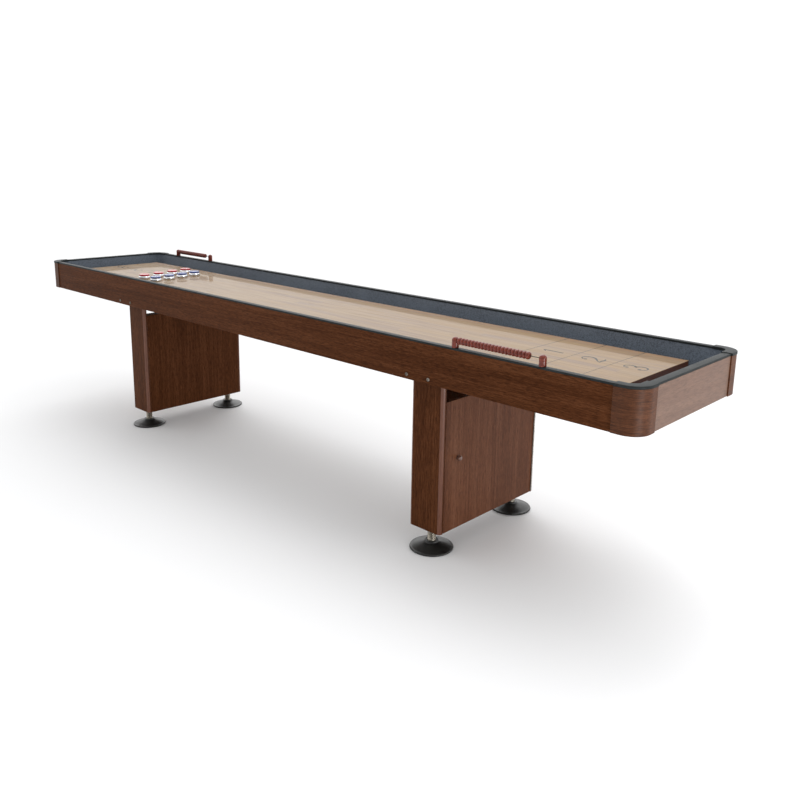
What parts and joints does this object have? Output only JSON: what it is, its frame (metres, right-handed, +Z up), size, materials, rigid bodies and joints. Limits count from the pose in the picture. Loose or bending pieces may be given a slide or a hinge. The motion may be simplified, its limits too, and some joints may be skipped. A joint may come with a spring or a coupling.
{
  "type": "shuffleboard table",
  "caption": "Long shuffleboard table: padded gutter cabinet round a gloss maple playfield, on two storage pedestals with screw feet, bead scorers and weights.",
  "frame": {"origin": "on the floor, under the middle of the table", "axes": "+X along the table's length, +Y across it towards the far rail, +Z up"},
  "size_m": [3.6686, 0.7096, 0.8373],
  "materials": {
    "walnut_laminate": "dark walnut woodgrain laminate, satin",
    "walnut_end_laminate": "walnut woodgrain laminate, satin",
    "rail_carpet": "short blue-grey carpet over board and foam",
    "corner_vinyl": "moulded blue-grey vinyl, fine grain",
    "base_board": "board with a dark felt face in the gutters",
    "maple_playfield": "butcher block maple under a thick clear gloss coat",
    "knob_wood": "turned wood, stained and lacquered",
    "hinge_steel": "nickel-plated",
    "chromed_steel": "bright plated steel",
    "foot_plastic": "black moulded plastic, satin",
    "mahogany_gloss": "turned hardwood, red-brown stain under gloss lacquer",
    "puck_steel": "polished chromed steel",
    "puck_cap_red": "gloss moulded plastic",
    "puck_cap_blue": "gloss moulded plastic"
  },
  "bodies": {
    "table": {"apron_near": "walnut_laminate", "apron_far": "walnut_laminate", "corner_block_near_left": "walnut_laminate", "corner_block_near_right": "walnut_laminate", "corner_block_far_left": "walnut_laminate", "corner_block_far_right": "walnut_laminate", "apron_left_end": "walnut_end_laminate", "apron_right_end": "walnut_end_laminate", "rail_liner_near": "rail_carpet", "rail_liner_far": "rail_carpet", "rail_liner_left_end": "rail_carpet", "rail_liner_right_end": "rail_carpet", "corner_cap_near_left": "corner_vinyl", "corner_cap_near_right": "corner_vinyl", "corner_cap_far_left": "corner_vinyl", "corner_cap_far_right": "corner_vinyl", "gutter_floor": "base_board", "playfield_base": "base_board", "playfield": "maple_playfield", "pedestal_left_panel_near": "walnut_laminate", "pedestal_left_panel_far": "walnut_laminate", "pedestal_left_inner_panel": "walnut_laminate", "pedestal_left_bottom": "walnut_laminate", "pedestal_left_top": "walnut_laminate", "pedestal_left_hinge": "hinge_steel", "pedestal_left_bracket_near": "chromed_steel", "pedestal_left_bracket_far": "chromed_steel", "pedestal_right_panel_near": "walnut_laminate", "pedestal_right_panel_far": "walnut_laminate", "pedestal_right_inner_panel": "walnut_laminate", "pedestal_right_bottom": "walnut_laminate", "pedestal_right_top": "walnut_laminate", "pedestal_right_hinge": "hinge_steel", "pedestal_right_bracket_near": "chromed_steel", "pedestal_right_bracket_far": "chromed_steel", "scorer_near_post_left": "mahogany_gloss", "scorer_near_post_right": "mahogany_gloss", "scorer_near_wire": "chromed_steel", "scorer_far_post_left": "mahogany_gloss", "scorer_far_post_right": "mahogany_gloss", "scorer_far_wire": "chromed_steel"},
    "door_left": {"pedestal_left_door": "walnut_end_laminate", "pedestal_left_knob": "knob_wood"},
    "door_right": {"pedestal_right_door": "walnut_end_laminate", "pedestal_right_knob": "knob_wood"},
    "leveller_left_near": {"leveller_left_near": "foot_plastic"},
    "leveller_left_far": {"leveller_left_far": "foot_plastic"},
    "leveller_right_near": {"leveller_right_near": "foot_plastic"},
    "leveller_right_far": {"leveller_right_far": "foot_plastic"},
    "beads_near": {"scorer_near_beads": "mahogany_gloss"},
    "beads_far": {"scorer_far_beads": "mahogany_gloss"},
    "puck_red_1": {"puck_red_1": "puck_steel"},
    "puck_red_2": {"puck_red_2": "puck_steel"},
    "puck_red_3": {"puck_red_3": "puck_steel"},
    "puck_red_4": {"puck_red_4": "puck_steel"},
    "puck_blue_1": {"puck_blue_1": "puck_steel"},
    "puck_blue_2": {"puck_blue_2": "puck_steel"},
    "puck_blue_3": {"puck_blue_3": "puck_steel"},
    "puck_blue_4": {"puck_blue_4": "puck_steel"}
  },
  "joints": [
    {"name": "door_left_hinge", "type": "hinge", "parent": "table", "child": "door_left", "pos_m": [-1.078, -0.2757, 0.333], "axis": [0, 0, 1], "range_deg": [0, 105]},
    {"name": "door_right_hinge", "type": "hinge", "parent": "table", "child": "door_right", "pos_m": [1.078, 0.2757, 0.333], "axis": [0, 0, 1], "range_deg": [0, 105]},
    {"name": "leveller_left_near_screw", "type": "slide", "parent": "table", "child": "leveller_left_near", "axis": [0, 0, 1], "range_m": [0, 0.035]},
    {"name": "leveller_left_far_screw", "type": "slide", "parent": "table", "child": "leveller_left_far", "axis": [0, 0, 1], "range_m": [0, 0.035]},
    {"name": "leveller_right_near_screw", "type": "slide", "parent": "table", "child": "leveller_right_near", "axis": [0, 0, 1], "range_m": [0, 0.035]},
    {"name": "leveller_right_far_screw", "type": "slide", "parent": "table", "child": "leveller_right_far", "axis": [0, 0, 1], "range_m": [0, 0.035]},
    {"name": "beads_near_slide", "type": "slide", "parent": "table", "child": "beads_near", "axis": [1, 0, 0], "range_m": [0, 0.034]},
    {"name": "beads_far_slide", "type": "slide", "parent": "table", "child": "beads_far", "axis": [1, 0, 0], "range_m": [0, 0.034]},
    {"name": "puck_red_1_slide", "type": "slide", "parent": "table", "child": "puck_red_1", "axis": [1, 0, 0], "range_m": [-0.45, 0.02]},
    {"name": "puck_red_2_slide", "type": "slide", "parent": "table", "child": "puck_red_2", "axis": [1, 0, 0], "range_m": [-0.45, 0.02]},
    {"name": "puck_red_3_slide", "type": "slide", "parent": "table", "child": "puck_red_3", "axis": [1, 0, 0], "range_m": [-0.45, 0.02]},
    {"name": "puck_red_4_slide", "type": "slide", "parent": "table", "child": "puck_red_4", "axis": [1, 0, 0], "range_m": [-0.45, 0.02]},
    {"name": "puck_blue_1_slide", "type": "slide", "parent": "table", "child": "puck_blue_1", "axis": [1, 0, 0], "range_m": [-0.02, 2.65]},
    {"name": "puck_blue_2_slide", "type": "slide", "parent": "table", "child": "puck_blue_2", "axis": [1, 0, 0], "range_m": [-0.02, 2.65]},
    {"name": "puck_blue_3_slide", "type": "slide", "parent": "table", "child": "puck_blue_3", "axis": [1, 0, 0], "range_m": [-0.02, 2.65]},
    {"name": "puck_blue_4_slide", "type": "slide", "parent": "table", "child": "puck_blue_4", "axis": [1, 0, 0], "range_m": [-0.02, 2.65]}
  ]
}
